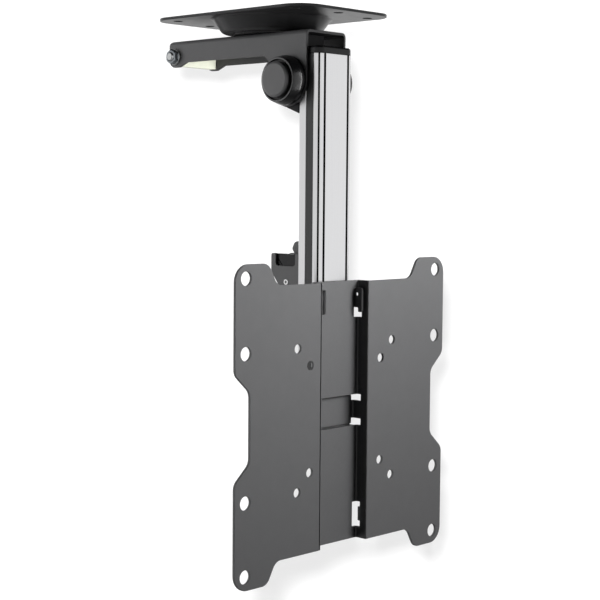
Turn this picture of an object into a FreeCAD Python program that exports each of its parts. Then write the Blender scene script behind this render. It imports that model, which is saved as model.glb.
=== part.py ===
import FreeCAD, Part
import math
import os

# Fold-up ceiling mount for a flat screen, in millimetres.
# The row frame has +Z up and the screen on the -Y side. Its origin is the centre
# of the ceiling plate's top face, which is also the swivel axis.

V = FreeCAD.Vector

# Small sizes that several pieces share
hexagon_bevel = 0.2
loose_fit = 0.1
edge_break_r = 0.8
cut_margin = 5.0
diagonal = math.sqrt(0.5)

# Ceiling plate, pressed from sheet with a round dish in the middle
ceiling_plate_width = 100.0
ceiling_plate_length = 156.0
ceiling_plate_corner_r = 18.0
ceiling_plate_sheet = 2.0
ceiling_hole_r = 3.5
ceiling_hole_pitch_x = 76.0
ceiling_hole_pitch_y = 120.0
ceiling_middle_hole_pitch = 132.0
dish_depth = 10.7
dish_mouth_r = 44.0
dish_floor_r = 36.0
dish_bend_r = 3.0

# Swivel bolt between the dish and the arm
swivel_bolt_r = 6.0
swivel_head_flats = 18.0
swivel_head_height = 7.0
swivel_washer_r = 15.0
swivel_washer_thickness = 1.5
slip_disc_r = 28.0
slip_disc_thickness = 1.2
swivel_nut_height = 8.0
swivel_thread_beyond_nut = 2.0

# Arm, an inverted channel
arm_width = 41.2
arm_sheet = 2.0
arm_bend_r = 3.5
arm_length = 144.2
arm_front_reach = 54.8
arm_flange_height = 16.5
arm_corner_r = 3.0

# Pivot that the column folds on
pivot_drop = 35.2
pivot_setback = 18.3
pivot_ear_r = 18.3
pivot_ear_slope_start = 24.0
pivot_ear_join_angle = 37.0
pivot_bolt_r = 5.0
pivot_head_flats = 16.0
pivot_head_height = 6.0
pivot_nut_height = 6.0
pivot_thread_beyond_nut = 0.4
pivot_washer_r = 10.0
pivot_washer_thickness = 1.5
friction_disc_r = 8.2
friction_disc_thickness = 0.8
friction_disc_play = 0.1
running_clearance = 0.06
pivot_sleeve_wall = 0.8

# Covers over the pivot's ends
cover_base_r = 17.6
cover_lip_r = 15.7
cover_height = 10.7
cover_wall = 1.8
cover_lip_width = 1.3
cover_lip_round = 0.8
cover_lip_inner_round = 0.4
cover_straight = 3.7
cover_shoulder_r = 5.4
cap_r = 12.6
cap_proud = 3.4
cap_thickness = 2.2
cap_rim_drop = 1.2
cap_rim_width = 2.5
cap_rim_round = 2.0
cap_dome = 0.2

# Stop block at the arm's free end
stop_bolt_setback = 6.6
stop_bolt_above_pivot = 23.3
stop_bolt_r = 3.0
stop_hole_clearance = 0.2
stop_washer_r = 6.0
stop_washer_thickness = 1.4
stop_nut_flats = 10.0
stop_nut_height = 3.4
stop_head_height = 4.0
stop_thread_beyond_nut = 1.2
bolt_end_chamfer = 0.6
stop_block_front = 3.9
stop_block_rear = 3.4
stop_block_below_bolt = 6.9
stop_lobe_drop = 3.4
stop_lobe_front = 4.8
stop_lobe_slope_run = 8.5
stop_lobe_corner_r = 6.0
stop_lobe_front_r = 3.0
striker_width = 10.0
striker_reach = 6.2
striker_low = 1.5
striker_height = 5.8
fit_gap = 0.15

# Column, one extruded aluminium profile
column_side_play = 0.5
column_depth = 20.0
column_end_above_plate = 16.6
column_top_above_pivot = 18.3
column_front_before_pivot = 28.4
column_wall = 1.8
column_front_wall = 3.0
cavity_front_r = 2.0
cavity_rear_r = 1.0
column_corner_width = 5.4
column_corner_depth = 7.0
column_rear_corner_r = 2.0
front_groove_inset = 0.6
front_groove_width = 1.2
front_groove_depth = 1.6
corner_groove_width = 1.1
corner_groove_depth = 1.3
side_channel_width = 7.2
side_channel_depth = 3.0
side_strip_recess = 0.3
strip_play = 0.05
cap_height_top = 5.2
cap_height_bottom = 3.0
cap_edge_r = 1.8
cap_plug_depth = 9.0
cap_plug_wall = 0.8

# Yoke that carries the column on the pivot
yoke_sheet = 2.5
yoke_bend_r = 1.5
yoke_ear_r = 19.0
yoke_tail_start = 3.1
yoke_tail_drop = 23.3
yoke_stop_width = 16.0
yoke_stop_gap = 0.3
yoke_screw_side = 9.1
yoke_screws_below_pivot = 10.0
yoke_low_screw_below_pivot = 18.2

# Screws and bars that hold brackets on the column's back
screw_r = 2.5
screw_head_r = 4.6
screw_head_height = 2.6
screw_crown_r = 1.8
screw_socket_floor = 1.3
screw_length = 8.0
screw_hole_clearance = 0.25
nut_bar_side_play = 1.2
nut_bar_thickness = 4.0
nut_bar_margin = 6.0

# Catch bracket on the column's back
catch_width = 28.0
catch_sheet = 2.0
catch_depth = 31.7
catch_block_gap = 0.5
catch_height = 28.1
catch_corner_r = 3.5
catch_inner_r = 1.0
catch_slope_run = 13.0
catch_slope_rise = 16.9
catch_slope_r = 3.0
catch_notch_front = 6.0
catch_notch_width = 19.5
catch_notch_depth = 9.0
catch_notch_r = 2.5
catch_slot_width = 11.0
catch_slot_depth = 19.0
catch_foot_rise = 14.0
catch_screw_side = 9.6

# Hand latch inside the catch bracket
latch_pin_from_column = 14.7
latch_pin_up = 7.5
latch_pin_r = 2.2
latch_pin_bore_r = 0.9
latch_pin_proud = 0.5
latch_pin_chamfer = 0.3
latch_thickness = 8.0
latch_boss_r = 5.2
latch_neck_half = 4.2
latch_tab_height = 29.3
latch_tab_thickness = 6.0
latch_beak_drop = 4.7
latch_beak_reach = 4.2
latch_beak_r = 2.0
latch_tab_back = 1.4
latch_tab_neck_r = 10.0
latch_hook_gap = 0.5
latch_hook_thickness = 3.2
latch_hook_rise = 3.4
latch_arm_thickness = 3.9
latch_bend_r = 3.0
latch_open_angle = 12.0
latch_guide_gap = 0.6
latch_guide_boss_r = 4.4
latch_guide_front = 3.4
latch_guide_back = 3.3
latch_guide_below_top = 0.4
latch_guide_foot_run = 10.5
latch_guide_foot_rise = 11.3
latch_guide_corner_r = 3.5

# Hook head that the screen plate hangs on
hook_sheet = 2.0
hook_inner_play = 0.8
hook_cheek_height = 27.0
hook_top_above_catch = 3.9
hook_top_below_edge = 5.4
hook_height = 14.1
hook_nose_drop = 3.3
hook_nose_width = 3.5
hook_saddle_drop = 2.9
hook_sheet_play = 0.2
hook_tip_setback = 2.9
hook_corner_r = 1.5
hook_inner_r = 1.0
hook_heel_r = 3.0
hook_hole_r = 1.4
hook_hole_forward = 5.0
hook_hole_down = 4.6
hook_head_web_height = 20.0
hook_screw_side = 9.1

# Screen plate, one folded sheet with a channel down its middle
plate_sheet = 2.0
plate_side_margin = 10.0
plate_end_margin = 9.5
plate_ear_rise = 15.2
plate_waist_depth = 14.0
plate_waist_height = 48.0
plate_ear_foot_height = 73.0
plate_ear_top_width = 31.0
plate_ear_slope = 8.5
plate_corner_r = 12.0
plate_notch_r = 8.0
fold_groove_width = 1.2
fold_groove_depth = 0.9
fold_groove_angle = 9.0
channel_width = 48.0
channel_depth = 9.6
channel_bend_r = 1.2
column_to_plate_gap = 0.4
strap_height = 22.6
strap_depth = 4.0
strap_step = 1.3
strap_groove_width = 1.0
strap_groove_depth = 1.3
strap_relief_height = 4.8
strap_relief_forward = 6.4
strap_relief_side = 3.0
slot_height = 18.4
slot_side = 18.5
slot_wall_deep = 3.4
slot_wall_shallow = 1.4
slot_step_top = 3.7
slot_step_bottom = 4.4
outer_hole_r = 4.8
inner_hole_r = 3.25
vesa_wide = 200.0
vesa_middle = 100.0
vesa_small = 75.0

# Places that follow from the sizes
dish_floor_z = -dish_depth - ceiling_plate_sheet
web_top_z = dish_floor_z - slip_disc_thickness
web_under_z = web_top_z - arm_sheet
arm_front_y = -arm_front_reach
arm_end_y = arm_front_y + arm_length
arm_half = arm_width / 2
arm_inner_half = arm_half - arm_sheet
flange_bottom_z = web_top_z - arm_flange_height
pivot_y = arm_front_y + pivot_setback
pivot_z = web_top_z - pivot_drop
stop_bolt_y = arm_end_y - stop_bolt_setback
stop_bolt_reach = stop_bolt_y - pivot_y
stop_bolt_z = pivot_z + stop_bolt_above_pivot
column_front_y = pivot_y - column_front_before_pivot
column_rear_y = column_front_y + column_depth
column_top_z = pivot_z + column_top_above_pivot
column_width = arm_width - 2 * arm_sheet - 2 * column_side_play
column_half = column_width / 2
column_flat_width = column_width - 2 * column_corner_width
front_groove_offset = column_flat_width / 2 - front_groove_inset
yoke_screw_pitch_x = column_width - 2 * yoke_screw_side
catch_screw_pitch = column_width - 2 * catch_screw_side
hook_screw_pitch = column_width - 2 * hook_screw_side
yoke_half = arm_inner_half - friction_disc_thickness - 2 * friction_disc_play
catch_top_z = pivot_z - stop_bolt_reach - stop_block_rear - catch_block_gap
catch_bottom_z = catch_top_z - catch_height
catch_back_y = column_rear_y + catch_depth
latch_pin_y = column_rear_y + latch_pin_from_column
latch_pin_z = catch_bottom_z + latch_pin_up
plate_width = vesa_wide + 2 * plate_side_margin
plate_ear_height = vesa_wide + 2 * plate_end_margin
plate_middle_height = plate_ear_height - 2 * plate_ear_rise
hook_top_z = catch_bottom_z + hook_top_above_catch
hook_top_up = plate_middle_height / 2 - hook_top_below_edge
plate_centre_z = hook_top_z - hook_top_up
column_bottom_z = plate_centre_z + column_end_above_plate
slot_bottom_up = hook_top_up - hook_saddle_drop - slot_height
plate_waist_width = plate_width - 2 * plate_waist_depth
plate_back_y = column_front_y - column_to_plate_gap
plate_front_y = plate_back_y - channel_depth - plate_sheet
plate_cut_front_y = plate_front_y - cut_margin
plate_cut_back_y = plate_back_y + strap_depth + plate_sheet + cut_margin
hook_inner_half = column_half + hook_inner_play
hook_outer_half = hook_inner_half + hook_sheet


def rounded_wire(points, level=0.0):
    """Closed wire through (a, b) or (a, b, radius) points, with tangent arcs."""
    count = len(points)
    edges = []
    starts = []
    for i, point in enumerate(points):
        here = V(point[0], point[1], level)
        before = V(points[i - 1][0], points[i - 1][1], level)
        after = V(points[(i + 1) % count][0], points[(i + 1) % count][1], level)
        radius = point[2] if len(point) > 2 else 0
        if radius <= 0:
            starts.append((here, here, None))
            continue
        to_before = (before - here).normalize()
        to_after = (after - here).normalize()
        half_angle = math.acos(max(-1.0, min(1.0, to_before.dot(to_after)))) / 2
        setback = radius / math.tan(half_angle)
        middle_ray = (to_before + to_after).normalize()
        centre = here + middle_ray * (radius / math.sin(half_angle))
        crown = centre - middle_ray * radius
        starts.append((here + to_before * setback, here + to_after * setback, crown))
    for i in range(count):
        first, last, crown = starts[i]
        if crown is not None:
            edges.append(Part.Arc(first, crown, last).toShape())
        following = starts[(i + 1) % count][0]
        if last.distanceToPoint(following) > 1e-6:
            edges.append(Part.LineSegment(last, following).toShape())
    return Part.Wire(edges)


def plan_prism(points, z_low, z_high):
    """Outline in (x, y), extruded along Z."""
    return Part.Face(rounded_wire(points, z_low)).extrude(V(0, 0, z_high - z_low))


def side_prism(points, x_low, x_high):
    """Outline in (y, z), extruded along X."""
    solid = plan_prism(points, x_low, x_high)
    solid.rotate(V(0, 0, 0), V(1, 1, 1), 120)
    return solid


def front_prism(points, y_low, y_high):
    """Outline in (x, z), extruded along Y."""
    solid = plan_prism(points, -y_high, -y_low)
    solid.rotate(V(0, 0, 0), V(1, 0, 0), 90)
    return solid


def revolved(points):
    """Outline in (radius, z), turned once round the Z axis."""
    face = Part.Face(rounded_wire(points))
    face.rotate(V(0, 0, 0), V(1, 0, 0), 90)
    return face.revolve(V(0, 0, 0), V(0, 0, 1), 360)


def block(x_low, x_high, y_low, y_high, z_low, z_high):
    return Part.makeBox(x_high - x_low, y_high - y_low, z_high - z_low, V(x_low, y_low, z_low))


def rod_x(radius, x_low, x_high, y, z):
    return Part.makeCylinder(radius, x_high - x_low, V(x_low, y, z), V(1, 0, 0))


def rod_y(radius, y_low, y_high, x, z):
    return Part.makeCylinder(radius, y_high - y_low, V(x, y_low, z), V(0, 1, 0))


def rod_z(radius, z_low, z_high, x=0.0, y=0.0):
    return Part.makeCylinder(radius, z_high - z_low, V(x, y, z_low), V(0, 0, 1))


def hexagon(flats, height):
    """Hexagonal prism along Z from 0, its top corners bevelled as on a nut."""
    corner_r = flats / math.sqrt(3)
    corners = [(corner_r * math.cos(math.radians(60 * i)), corner_r * math.sin(math.radians(60 * i)))
               for i in range(6)]
    top_r = flats / 2 - hexagon_bevel
    crown = Part.makeCone(top_r + height / math.tan(math.radians(30)), top_r, height)
    return plan_prism(corners, 0, height).common(crown)


def turned(shape, axis, angle, centre=V(0, 0, 0)):
    copy = shape.copy()
    copy.rotate(centre, axis, angle)
    return copy


def facing_x(shape, x, y, z, side):
    """Turn a shape made along Z to point along side * X, with its foot at x, y, z."""
    copy = turned(shape, V(0, 1, 0), 90 * side)
    copy.translate(V(x, y, z))
    return copy


def mirrored(shape):
    return shape.mirror(V(0, 0, 0), V(1, 0, 0))


def both_sides(shape):
    return [shape, mirrored(shape)]


def edges_where(shape, test):
    return [edge for edge in shape.Edges if test(edge)]


def rounded_rectangle(width, length, corner_r):
    half_w, half_l = width / 2, length / 2
    return [(-half_w, -half_l, corner_r), (half_w, -half_l, corner_r),
            (half_w, half_l, corner_r), (-half_w, half_l, corner_r)]


# Ceiling plate and swivel

def ceiling_plate():
    sheet = ceiling_plate_sheet
    flat = plan_prism(rounded_rectangle(ceiling_plate_width, ceiling_plate_length,
                                        ceiling_plate_corner_r), -sheet, 0)
    slope = math.atan2(dish_depth, dish_mouth_r - dish_floor_r)
    shift = sheet * math.tan(slope / 2)
    join_r = dish_mouth_r + dish_bend_r + sheet
    flat = flat.cut(rod_z(join_r, -2 * sheet, sheet))
    dish = revolved([
        (swivel_bolt_r, dish_floor_z), (dish_floor_r, dish_floor_z, dish_bend_r + sheet),
        (dish_mouth_r, -sheet, dish_bend_r), (join_r, -sheet), (join_r, 0),
        (dish_mouth_r - shift, 0, dish_bend_r + sheet),
        (dish_floor_r - shift, dish_floor_z + sheet, dish_bend_r),
        (swivel_bolt_r, dish_floor_z + sheet)])
    plate = flat.fuse(dish).removeSplitter()
    for x, y in ceiling_holes():
        plate = plate.cut(rod_z(ceiling_hole_r, -2 * sheet, sheet, x, y))
    return plate


def ceiling_holes():
    half_x, half_y = ceiling_hole_pitch_x / 2, ceiling_hole_pitch_y / 2
    corners = [(sx * half_x, sy * half_y) for sx in (-1, 1) for sy in (-1, 1)]
    return corners + [(0, -ceiling_middle_hole_pitch / 2), (0, ceiling_middle_hole_pitch / 2)]


def washer_z(outer_r, inner_r, z_low, thickness):
    return rod_z(outer_r, z_low, z_low + thickness).cut(rod_z(inner_r, z_low - 1, z_low + thickness + 1))


def swivel_parts():
    floor_top = dish_floor_z + ceiling_plate_sheet
    head_z = floor_top + swivel_washer_thickness
    lower_washer_top = web_under_z
    nut_top = lower_washer_top - swivel_washer_thickness
    end_z = nut_top - swivel_nut_height - swivel_thread_beyond_nut
    head = hexagon(swivel_head_flats, swivel_head_height)
    head.translate(V(0, 0, head_z))
    bolt = head.fuse(rod_z(swivel_bolt_r, end_z, head_z + 1))
    nut = hexagon(swivel_head_flats, swivel_nut_height)
    nut = turned(nut, V(1, 0, 0), 180)
    nut.translate(V(0, 0, nut_top))
    nut = nut.cut(rod_z(swivel_bolt_r, end_z - 1, nut_top + 1))
    return {
        "swivel_bolt": bolt.removeSplitter(),
        "swivel_nut": nut,
        "swivel_washer_upper": washer_z(swivel_washer_r, swivel_bolt_r, floor_top, swivel_washer_thickness),
        "swivel_washer_lower": washer_z(swivel_washer_r, swivel_bolt_r + running_clearance, nut_top,
                                        swivel_washer_thickness),
        "swivel_slip_disc": washer_z(slip_disc_r, swivel_bolt_r + running_clearance, web_top_z,
                                     slip_disc_thickness),
    }


# Arm

def arch(half_width, top_z, bend_r, y_low, y_high):
    """Solid bar with rounded top corners that reaches below the pivot's ears."""
    low_z = pivot_z - 2 * pivot_ear_r
    return front_prism([(-half_width, top_z, bend_r), (half_width, top_z, bend_r),
                        (half_width, low_z), (-half_width, low_z)], y_low, y_high)


def arm_channel():
    lobe_low = flange_bottom_z - stop_lobe_drop
    lobe_front = stop_bolt_y - stop_lobe_front
    beam = side_prism([(arm_front_y, flange_bottom_z), (lobe_front - stop_lobe_slope_run, flange_bottom_z),
                       (lobe_front, lobe_low, stop_lobe_front_r), (arm_end_y, lobe_low, stop_lobe_corner_r),
                       (arm_end_y, web_top_z, arm_corner_r), (arm_front_y, web_top_z)],
                      -arm_half, arm_half)
    join = math.radians(pivot_ear_join_angle)
    cheek = side_prism([(arm_front_y, pivot_z), (pivot_y, pivot_z - pivot_ear_r / 2),
                        (pivot_y + pivot_ear_r * math.cos(join), pivot_z + pivot_ear_r * math.sin(join)),
                        (pivot_y + pivot_ear_slope_start, flange_bottom_z),
                        (pivot_y + pivot_ear_slope_start, flange_bottom_z + 1),
                        (arm_front_y, flange_bottom_z + 1)], -arm_half, arm_half)
    ear = rod_x(pivot_ear_r, -arm_half, arm_half, pivot_y, pivot_z)
    silhouette = beam.fuse([cheek, ear]).removeSplitter()
    low_y, high_y = arm_front_y - cut_margin, arm_end_y + cut_margin
    outer = arch(arm_half, web_top_z, arm_bend_r, low_y, high_y)
    inner = arch(arm_inner_half, web_under_z, arm_bend_r - arm_sheet, low_y, high_y)
    channel = silhouette.common(outer.cut(inner))
    channel = channel.cut(rod_z(swivel_bolt_r + running_clearance, web_under_z - 1, web_top_z + 1))
    channel = channel.cut(rod_x(pivot_bolt_r, -arm_width, arm_width, pivot_y, pivot_z))
    return channel.cut(rod_x(stop_bolt_r, -arm_width, arm_width, stop_bolt_y, stop_bolt_z))


def pivot_parts():
    parts = {}
    head_x = arm_half + pivot_washer_thickness
    head = facing_x(hexagon(pivot_head_flats, pivot_head_height), -head_x, pivot_y, pivot_z, -1)
    end_x = head_x + pivot_nut_height + pivot_thread_beyond_nut
    bolt = head.fuse(rod_x(pivot_bolt_r, -head_x - 1, end_x, pivot_y, pivot_z))
    parts["pivot_bolt"] = bolt.removeSplitter()
    nut = facing_x(hexagon(pivot_head_flats, pivot_nut_height), head_x, pivot_y, pivot_z, 1)
    parts["pivot_nut"] = nut.cut(rod_x(pivot_bolt_r, 0, end_x + 1, pivot_y, pivot_z))
    bore = rod_x(pivot_bolt_r, -2 * arm_width, 2 * arm_width, pivot_y, pivot_z)
    washer = rod_x(pivot_washer_r, arm_half, head_x, pivot_y, pivot_z).cut(bore)
    parts["pivot_washer_right"] = washer
    parts["pivot_washer_left"] = mirrored(washer)
    loose_bore = rod_x(pivot_bolt_r + running_clearance, -2 * arm_width, 2 * arm_width, pivot_y, pivot_z)
    disc = rod_x(friction_disc_r, yoke_half + friction_disc_play,
                 yoke_half + friction_disc_play + friction_disc_thickness, pivot_y, pivot_z).cut(loose_bore)
    parts["friction_disc_right"] = disc
    parts["friction_disc_left"] = mirrored(disc)
    sleeve_r = pivot_bolt_r + running_clearance + pivot_sleeve_wall
    sleeve_half = yoke_half - yoke_sheet - yoke_bend_r
    parts["pivot_sleeve"] = rod_x(sleeve_r, -sleeve_half, sleeve_half, pivot_y, pivot_z).cut(loose_bore)
    cover, cap = pivot_cover()
    for side, name in ((1, "right"), (-1, "left")):
        parts["pivot_cover_" + name] = facing_x(cover, side * arm_half, pivot_y, pivot_z, side)
        parts["pivot_cap_" + name] = facing_x(cap, side * arm_half, pivot_y, pivot_z, side)
    return parts


def pivot_cover():
    """Cup over the bolt's end, and the round cap pressed into its mouth, both along Z from the flange."""
    lip_inner_r = cover_lip_r - cover_lip_width
    seat_z = cover_height - cap_thickness
    seat_r = cap_r - cover_wall
    foot_r = cover_base_r - cover_wall
    outline = [(foot_r, 0), (cover_base_r, 0), (cover_base_r, cover_straight, cover_shoulder_r),
               (cover_lip_r, cover_height, cover_lip_round),
               (lip_inner_r, cover_height, cover_lip_inner_round), (lip_inner_r, seat_z),
               (seat_r, seat_z), (seat_r, seat_z - cover_wall),
               (lip_inner_r, seat_z - cover_wall, cover_wall), (foot_r, cover_straight, cover_wall)]
    cover = revolved(outline)
    top_z = cover_height + cap_proud
    section = [(0, seat_z), (cap_r, seat_z), (cap_r, top_z - cap_rim_drop, edge_break_r),
               (cap_r - cap_rim_width, top_z - cap_dome, cap_rim_round), (0, top_z)]
    return cover, revolved(section)


def stop_parts():
    parts = {}
    outer_x = arm_half + stop_washer_thickness
    tip_x = -outer_x - stop_nut_height - stop_thread_beyond_nut
    hole_r = stop_bolt_r + stop_hole_clearance
    head = facing_x(hexagon(stop_nut_flats, stop_head_height), outer_x, stop_bolt_y, stop_bolt_z, 1)
    shank = rod_x(stop_bolt_r, tip_x, outer_x + 1, stop_bolt_y, stop_bolt_z)
    tip_edges = edges_where(shank, lambda edge: abs(edge.BoundBox.XMax - tip_x) < 1e-3)
    parts["stop_bolt"] = head.fuse(shank.makeChamfer(bolt_end_chamfer, tip_edges)).removeSplitter()
    nut = facing_x(hexagon(stop_nut_flats, stop_nut_height), -outer_x, stop_bolt_y, stop_bolt_z, -1)
    bore = rod_x(stop_bolt_r, -2 * arm_width, 2 * arm_width, stop_bolt_y, stop_bolt_z)
    parts["stop_nut"] = nut.cut(bore)
    washer = rod_x(stop_washer_r, arm_half, outer_x, stop_bolt_y, stop_bolt_z).cut(bore)
    parts["stop_washer_right"], parts["stop_washer_left"] = both_sides(washer)
    half = arm_inner_half - fit_gap
    low_z = stop_bolt_z - stop_block_below_bolt
    rear_y = stop_bolt_y + stop_block_rear
    front_y = stop_bolt_y - stop_block_front
    body = side_prism([(front_y, low_z, edge_break_r), (rear_y, low_z, edge_break_r), (rear_y, web_under_z),
                       (front_y, web_under_z)], -half, half)
    body = body.common(arch(half, web_under_z, arm_bend_r - arm_sheet, front_y - 1, rear_y + 1))
    striker_z = low_z + striker_low
    striker = side_prism([(rear_y - 1, striker_z), (rear_y + striker_reach, striker_z, edge_break_r),
                          (rear_y + striker_reach, striker_z + striker_height, edge_break_r),
                          (rear_y - 1, striker_z + striker_height)], -striker_width / 2, striker_width / 2)
    body = body.fuse(striker).removeSplitter()
    parts["stop_block"] = body.cut(rod_x(hole_r, -arm_width, arm_width, stop_bolt_y, stop_bolt_z))
    return parts


# Column

def column_outline(inset=0.0):
    """Closed outline of the profile in (x, y), front at column_front_y."""
    half = column_half - inset
    front = column_front_y + inset
    rear = column_rear_y - inset
    flat = column_flat_width / 2
    side_y = column_front_y + column_corner_depth
    across, along = half - flat, side_y - front
    left_mid = V(-flat - across * diagonal, side_y - along * diagonal, 0)
    right_mid = V(flat + across * diagonal, side_y - along * diagonal, 0)
    corner = column_rear_corner_r - inset
    setback = corner * (1 - diagonal)
    edges = [
        Part.LineSegment(V(-flat, front, 0), V(flat, front, 0)).toShape(),
        Part.Arc(V(flat, front, 0), right_mid, V(half, side_y, 0)).toShape(),
        Part.LineSegment(V(half, side_y, 0), V(half, rear - corner, 0)).toShape(),
        Part.Arc(V(half, rear - corner, 0), V(half - setback, rear - setback, 0),
                 V(half - corner, rear, 0)).toShape(),
        Part.LineSegment(V(half - corner, rear, 0), V(-half + corner, rear, 0)).toShape(),
        Part.Arc(V(-half + corner, rear, 0), V(-half + setback, rear - setback, 0),
                 V(-half, rear - corner, 0)).toShape(),
        Part.LineSegment(V(-half, rear - corner, 0), V(-half, side_y, 0)).toShape(),
        Part.Arc(V(-half, side_y, 0), left_mid, V(-flat, front, 0)).toShape(),
    ]
    return Part.Wire(edges)


def column_solid(z_low, z_high, inset=0.0):
    solid = Part.Face(column_outline(inset)).extrude(V(0, 0, z_high - z_low))
    solid.translate(V(0, 0, z_low))
    return solid


def cavity_half():
    return column_half - side_channel_depth - column_wall


def cavity_points(inset=0.0):
    half = cavity_half() - inset
    front = column_front_y + column_front_wall + inset
    rear = column_rear_y - column_wall - inset
    return [(-half, front, cavity_front_r), (half, front, cavity_front_r),
            (half, rear, cavity_rear_r), (-half, rear, cavity_rear_r)]


def channel_y():
    low = column_front_y + column_corner_depth
    return low, low + side_channel_width


def column_profile():
    low, high = column_bottom_z, column_top_z
    body = column_solid(low, high)
    body = body.cut(plan_prism(cavity_points(), low - 1, high + 1))
    half_groove = front_groove_width / 2
    y_low, y_high = channel_y()
    corner_x = column_flat_width / 2 + (column_half - column_flat_width / 2) * diagonal
    corner_y = column_front_y + column_corner_depth * (1 - diagonal)
    for side in (-1, 1):
        centre = side * front_groove_offset
        body = body.cut(block(centre - half_groove, centre + half_groove, column_front_y - 1,
                              column_front_y + front_groove_depth, low - 1, high + 1))
        groove = block(-corner_groove_width / 2, corner_groove_width / 2, -2, corner_groove_depth,
                       low - 1, high + 1)
        groove.rotate(V(0, 0, 0), V(0, 0, 1), side * 45)
        groove.translate(V(side * corner_x, corner_y, 0))
        body = body.cut(groove)
        inner_x = side * (column_half - side_channel_depth)
        outer_x = side * (column_half + 1)
        body = body.cut(block(min(inner_x, outer_x), max(inner_x, outer_x), y_low, y_high,
                              low - 1, high + 1))
    for x, z in yoke_screw_places() + catch_screw_places() + hook_screw_places():
        body = body.cut(rod_y(screw_r + screw_hole_clearance, column_rear_y - column_wall - 1,
                              column_rear_y + 1, x, z))
    return body


def side_strip():
    y_low, y_high = channel_y()
    return block(column_half - side_channel_depth, column_half - side_strip_recess,
                 y_low + strip_play, y_high - strip_play, column_bottom_z, column_top_z)


def column_cap(face_z, height, direction):
    """End cap: a lid with the profile's outline and a hollow plug that enters the cavity."""
    far_z = face_z + direction * height
    plug_z = face_z - direction * cap_plug_depth
    open_z = plug_z - direction
    lid = column_solid(min(face_z, far_z), max(face_z, far_z), loose_fit)
    rim = edges_where(lid, lambda edge: abs(edge.BoundBox.ZMin - far_z) < 1e-3
                      and abs(edge.BoundBox.ZMax - far_z) < 1e-3)
    lid = lid.makeFillet(cap_edge_r, rim)
    plug = plan_prism(cavity_points(loose_fit), min(plug_z, face_z), max(plug_z, face_z))
    hollow = plan_prism(cavity_points(loose_fit + cap_plug_wall), min(open_z, face_z), max(open_z, face_z))
    return lid.fuse(plug.cut(hollow)).removeSplitter()


# Yoke, screws and bars on the column's back

def yoke_screw_places():
    half = yoke_screw_pitch_x / 2
    upper, lower = pivot_z - yoke_screws_below_pivot, pivot_z - yoke_low_screw_below_pivot
    return [(-half, upper), (half, upper), (0, lower)]


def catch_screw_places():
    z = catch_top_z + catch_foot_rise / 2
    return [(-catch_screw_pitch / 2, z), (catch_screw_pitch / 2, z)]


def hook_screw_places():
    z = hook_top_z - hook_cheek_height + hook_head_web_height / 2
    return [(-hook_screw_pitch / 2, z), (hook_screw_pitch / 2, z)]


def yoke():
    rear = column_rear_y
    top_stop_z = web_under_z - yoke_stop_gap
    tail_z = pivot_z - yoke_tail_drop
    ear = rod_x(yoke_ear_r, -yoke_half, yoke_half, pivot_y, pivot_z)
    body = side_prism([(rear, tail_z), (rear, pivot_z + yoke_ear_r), (pivot_y, pivot_z + yoke_ear_r),
                       (pivot_y, pivot_z), (pivot_y + yoke_tail_start, pivot_z - yoke_ear_r)],
                      -yoke_half, yoke_half)
    body = body.fuse(ear).removeSplitter()
    keep = block(-arm_width, arm_width, rear, pivot_y + 2 * yoke_ear_r, tail_z - 1, top_stop_z)
    body = body.common(keep)
    inner_half = yoke_half - yoke_sheet
    web_rear, open_y = rear + yoke_sheet, pivot_y + 3 * yoke_ear_r
    hollow = plan_prism([(-inner_half, web_rear, yoke_bend_r), (inner_half, web_rear, yoke_bend_r),
                         (inner_half, open_y), (-inner_half, open_y)], tail_z - 1, web_top_z)
    body = body.cut(hollow)
    stop = block(-yoke_stop_width / 2, yoke_stop_width / 2, rear, rear + yoke_sheet,
                 pivot_z + yoke_ear_r - 1, top_stop_z)
    body = body.fuse(stop).removeSplitter()
    body = body.cut(rod_x(pivot_bolt_r + running_clearance, -arm_width, arm_width, pivot_y, pivot_z))
    for x, z in yoke_screw_places():
        body = body.cut(rod_y(screw_r + screw_hole_clearance, rear - 1, rear + yoke_sheet + 1, x, z))
    return body


def button_screws(places, seat_y):
    """Round-headed screws that enter the column's back, heads on the face at seat_y."""
    screws = []
    for x, z in places:
        head = rod_y(screw_head_r, seat_y, seat_y + screw_head_height, x, z)
        crown = edges_where(head, lambda edge: abs(edge.BoundBox.YMin - seat_y - screw_head_height) < 1e-3)
        head = head.makeFillet(screw_crown_r, crown)
        socket = hexagon(screw_r, screw_head_height)
        socket = turned(socket, V(1, 0, 0), -90)
        socket.translate(V(x, seat_y + screw_socket_floor, z))
        shank = rod_y(screw_r, seat_y - screw_length, seat_y + screw_socket_floor, x, z)
        screws.append(head.fuse(shank).removeSplitter().cut(socket))
    return Part.makeCompound(screws)


def nut_bar(places):
    """Threaded bar inside the column that the screws pull against."""
    low = min(z for _, z in places) - nut_bar_margin
    high = max(z for _, z in places) + nut_bar_margin
    rear = column_rear_y - column_wall
    half = cavity_half() - nut_bar_side_play
    bar = block(-half, half, rear - nut_bar_thickness, rear, low, high)
    for x, z in places:
        bar = bar.cut(rod_y(screw_r, rear - nut_bar_thickness - 1, rear + 1, x, z))
    return bar


# Catch bracket and latch

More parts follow.
